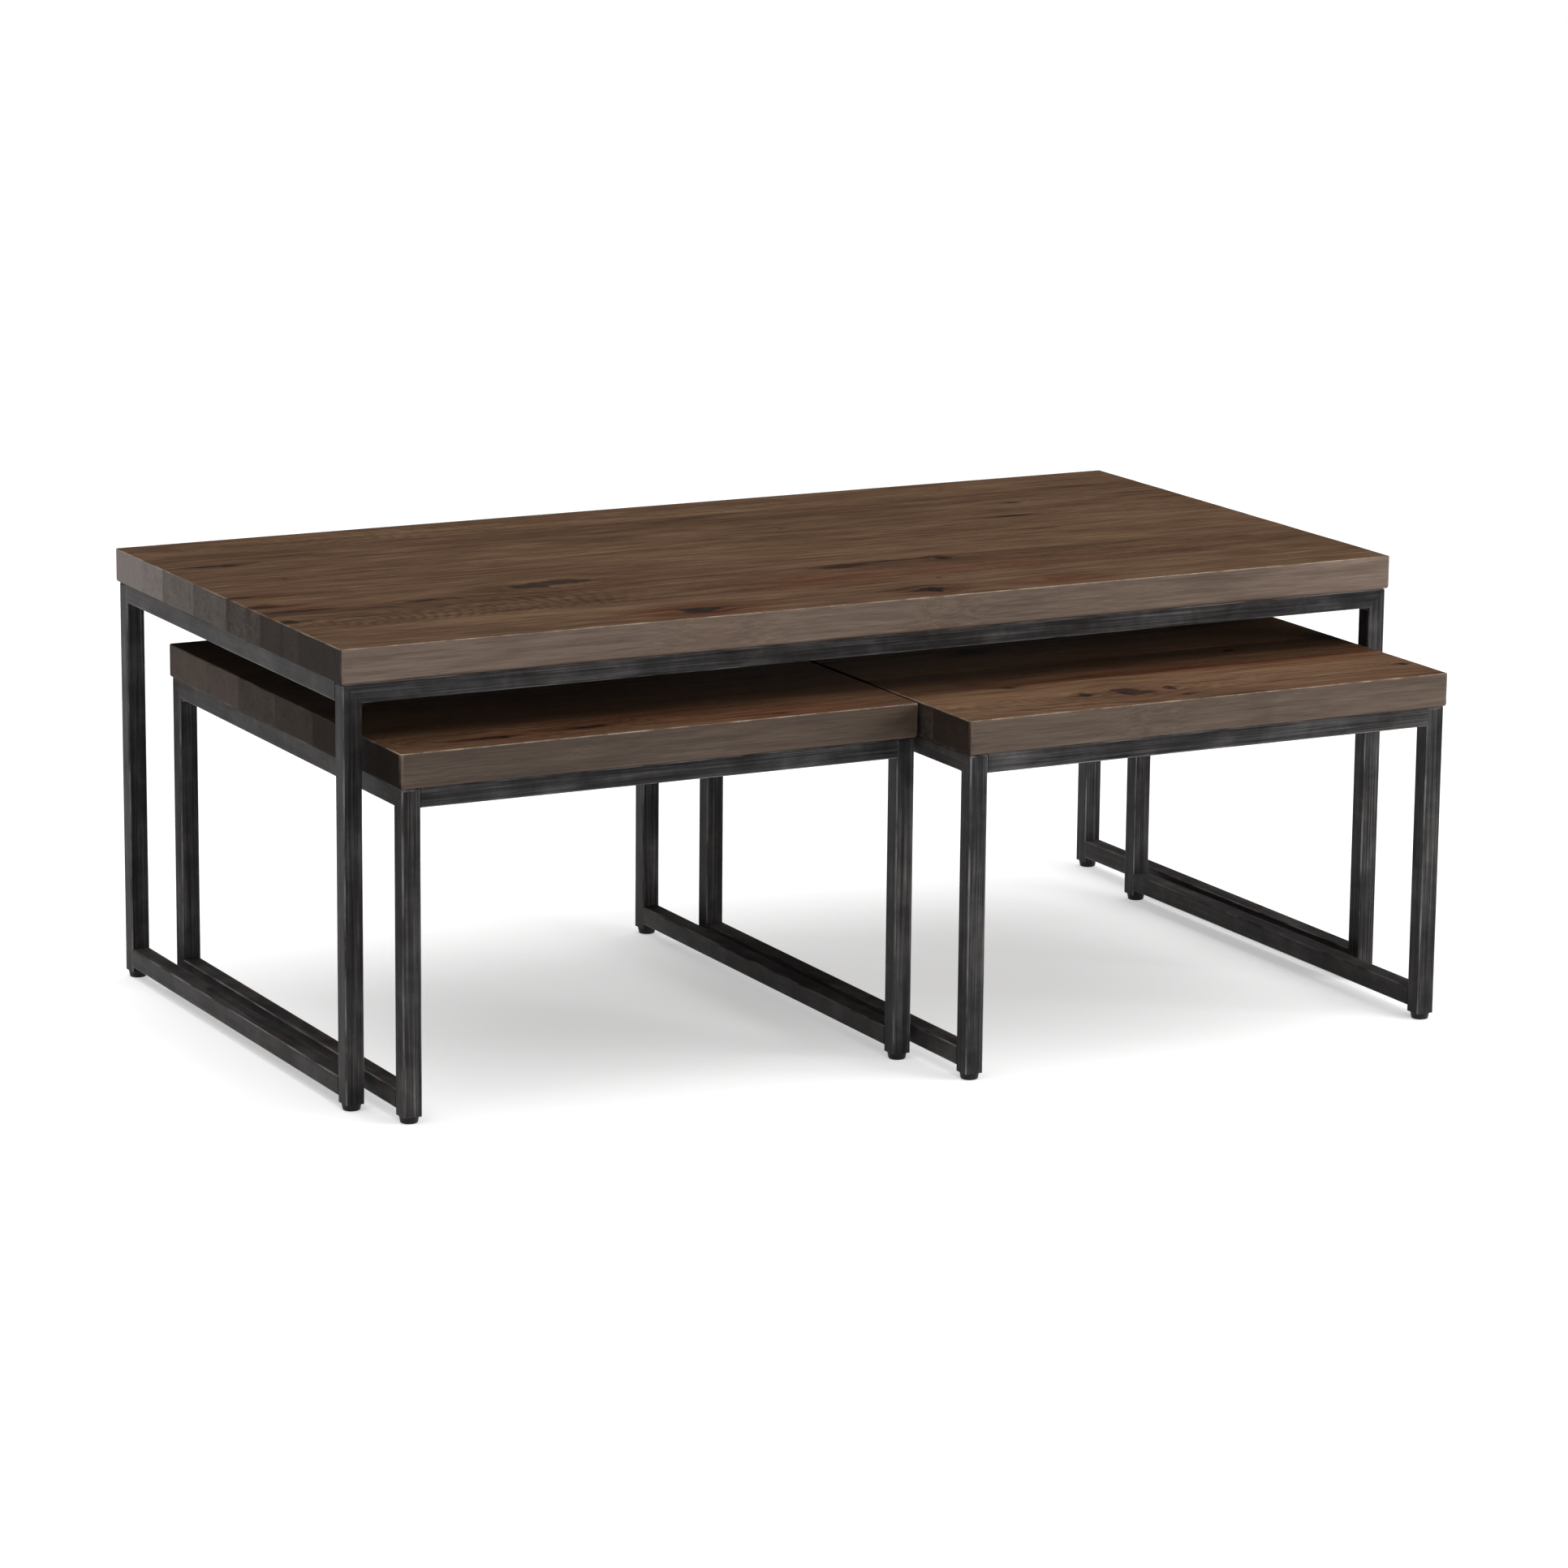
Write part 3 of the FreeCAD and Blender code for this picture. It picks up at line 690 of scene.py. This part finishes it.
# The faces, the long sides and the ends of the boards take the stain differently. Their colours below also
# hold painted light and reflection, which make the long top's long sides lighter and greyer than its faces,
# and painted shade, which makes the small tops' long sides and ends darker
FACE = {"contrast": 0.95, "gloss": 0.10, "rough_from": 0.36}
SIDE = {"contrast": 1.15, "gloss": 0.3, "figure": 0.3}
END = {"contrast": 0.35, "gloss": 0.03, "figure": 0.3, "rough_from": 0.6, "end": True}
WOOD = {
    "large": (
        oak("oak_brown_face", (0.010, 0.0044, 0.0017), (0.0595, 0.0318, 0.0168), (0.128, 0.079, 0.045),
            BROWN_FACE_RED, **FACE),
        oak("oak_brown_side", (0.046, 0.0314, 0.0232), (0.092, 0.0642, 0.0480), (0.144, 0.106, 0.082),
            SIDE_RED, **SIDE),
        oak("oak_brown_end", (0.008, 0.0060, 0.0048), (0.035, 0.0276, 0.0232), (0.172, 0.149, 0.138),
            END_RED, **END),
    ),
    "small": (
        oak("oak_red_face", (0.010, 0.0042, 0.0016), (0.059, 0.0298, 0.0150), (0.126, 0.073, 0.040),
            RED_FACE_RED, **FACE),
        oak("oak_red_side", (0.0245, 0.0162, 0.0110), (0.051, 0.0347, 0.0240), (0.085, 0.060, 0.043),
            SIDE_RED, **SIDE),
        oak("oak_red_end", (0.007, 0.0048, 0.0036), (0.024, 0.0168, 0.0128), (0.098, 0.078, 0.066),
            END_RED, **END),
    ),
}
STEEL_X = steel("steel_along_x", 0, streaks=0.75, brownness=0.25)
STEEL_Y = steel("steel_along_y", 1, streaks=0.45, brownness=0.6)
STEEL_Z = steel("steel_along_z", 2, streaks=0.80, brownness=0.25)
PLASTIC, ZINC = plastic("black_plastic"), zinc("zinc_plate")


# ---------------------------------------------------------------- the object

def dress():
    """Gives every CAD node that stays its material."""
    for name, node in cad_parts.items():
        if name.endswith("glides"):
            material = PLASTIC
        elif name.endswith("screws"):
            material = ZINC
        elif "_leg_" in name:
            material = STEEL_Z
        elif name.endswith(("front_rail", "back_rail")):
            material = STEEL_X
        else:
            material = STEEL_Y
        node.data.materials.clear()
        node.data.materials.append(material)


def boards():
    """Replaces the plain staves of each top with detailed boards."""
    for seed, table in enumerate(("large", "left_small", "right_small")):
        names = [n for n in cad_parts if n.startswith(f"{table}_top_stave_")]
        boxes = [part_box(n) for n in names]
        top_lo = Vector([min(b[0][i] for b in boxes) for i in range(3)])
        top_hi = Vector([max(b[1][i] for b in boxes) for i in range(3)])
        kind = "large" if table == "large" else "small"
        for number in range(1, len(names) + 1):
            board = Board(table, number, top_lo, top_hi, 1000 * seed + number)
            piece = board.build(WOOD[kind])
            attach(piece, f"{table}_table")
            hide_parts(f"{table}_top_stave_{number}")


# ---------------------------------------------------------------- the studio

# How far the floor reaches from the middle, in metres
FLOOR_REACH = 40
# What the object reflects: grey levels from the horizon to straight up, dark at first, then a bright cap
HORIZON_GREY, CAP_STOPS, ZENITH_GREY = 0.02, ((0.58, 0.03), (0.80, 2.0)), 2.5
# The camera stands at EYE, looks along +Y turned to the right by YAW and down by PITCH, and leans by
# ROLL. LENS is its focal length in millimetres
EYE = (-2.6906, -5.1248, 1.5300)
YAW, PITCH, ROLL = math.radians(27.659), math.radians(12.674), math.radians(0.539)
LENS = 129.915


def softbox(name, place, target, size, power, glare=True):
    """A soft light, which without glare leaves no reflection on the object."""
    data = bpy.data.lights.new(name, "AREA")
    data.shape, data.size, data.size_y = "RECTANGLE", *size
    data.energy = power
    light = bpy.data.objects.new(name, data)
    light.location = place
    light.rotation_mode = "QUATERNION"
    light.rotation_quaternion = (Vector(target) - Vector(place)).to_track_quat("-Z", "Y")
    light.visible_camera, light.visible_glossy = False, glare
    bpy.context.collection.objects.link(light)


def floor():
    r = FLOOR_REACH
    mesh = bpy.data.meshes.new("floor")
    mesh.from_pydata([(-r, -r, 0), (r, -r, 0), (r, r, 0), (-r, r, 0)], [], [(0, 1, 2, 3)])
    mesh.materials.append(paper("pale_floor"))
    plane = bpy.data.objects.new("floor", mesh)
    bpy.context.collection.objects.link(plane)


def surroundings():
    """A world that is plain white to the camera, and dark with a bright cap to all other rays."""
    world = bpy.data.worlds.new("studio")
    bpy.context.scene.world = world
    world.use_nodes = True
    tree = world.node_tree
    tree.nodes.clear()
    out = tree.nodes.new("ShaderNodeOutputWorld")
    back = tree.nodes.new("ShaderNodeBackground")
    where = tree.nodes.new("ShaderNodeTexCoord")
    split = tree.nodes.new("ShaderNodeSeparateXYZ")
    ramp = tree.nodes.new("ShaderNodeValToRGB")
    seen = tree.nodes.new("ShaderNodeLightPath")
    plain = tree.nodes.new("ShaderNodeMix")
    plain.data_type = "RGBA"
    behind, white = [s for s in plain.inputs if s.type == "RGBA"]
    white.default_value = (1, 1, 1, 1)
    mixed = next(s for s in plain.outputs if s.type == "RGBA")
    for start, end in (
        (where.outputs["Generated"], split.inputs[0]), (split.outputs["Z"], ramp.inputs[0]),
        (seen.outputs["Is Camera Ray"], plain.inputs["Factor"]), (ramp.outputs["Color"], behind),
        (mixed, back.inputs["Color"]), (back.outputs[0], out.inputs["Surface"]),
    ):
        tree.links.new(start, end)
    elements = ramp.color_ramp.elements
    elements[0].color = (HORIZON_GREY, HORIZON_GREY, HORIZON_GREY, 1)
    for place, grey in CAP_STOPS:
        elements.new(place).color = (grey, grey, grey, 1)
    elements[-1].color = (ZENITH_GREY, ZENITH_GREY, ZENITH_GREY, 1)
    back.inputs["Strength"].default_value = 1.0


def studio():
    floor()
    surroundings()
    softbox("overhead", (0, 0.3, 3.2), target=(0, 0, 0), size=(3.4, 2.8), power=60)
    softbox("front", (1.9, -2.2, 0.95), target=(0.4, -0.2, 0.35), size=(1.4, 0.8), power=74, glare=False)
    softbox("back_left", (-1.05, 0.95, 0.52), target=(-0.6, 0.25, 0.44), size=(0.3, 0.3), power=1.2)
    view = bpy.context.scene.view_settings
    view.view_transform, view.look = "Standard", "None"


def camera():
    forward = Vector((math.sin(YAW) * math.cos(PITCH), math.cos(YAW) * math.cos(PITCH), -math.sin(PITCH)))
    level = Vector((math.cos(YAW), -math.sin(YAW), 0))
    right = math.cos(ROLL) * level + math.sin(ROLL) * level.cross(forward)
    up = right.cross(forward)
    data = bpy.data.cameras.new("camera")
    data.lens, data.sensor_width = LENS, 36
    data.clip_start, data.clip_end = 0.1, 200
    eye = bpy.data.objects.new("camera", data)
    turn = Matrix((right, up, -forward)).transposed().to_4x4()
    eye.matrix_world = Matrix.Translation(EYE) @ turn
    bpy.context.collection.objects.link(eye)
    bpy.context.scene.camera = eye


dress()
boards()
studio()
camera()
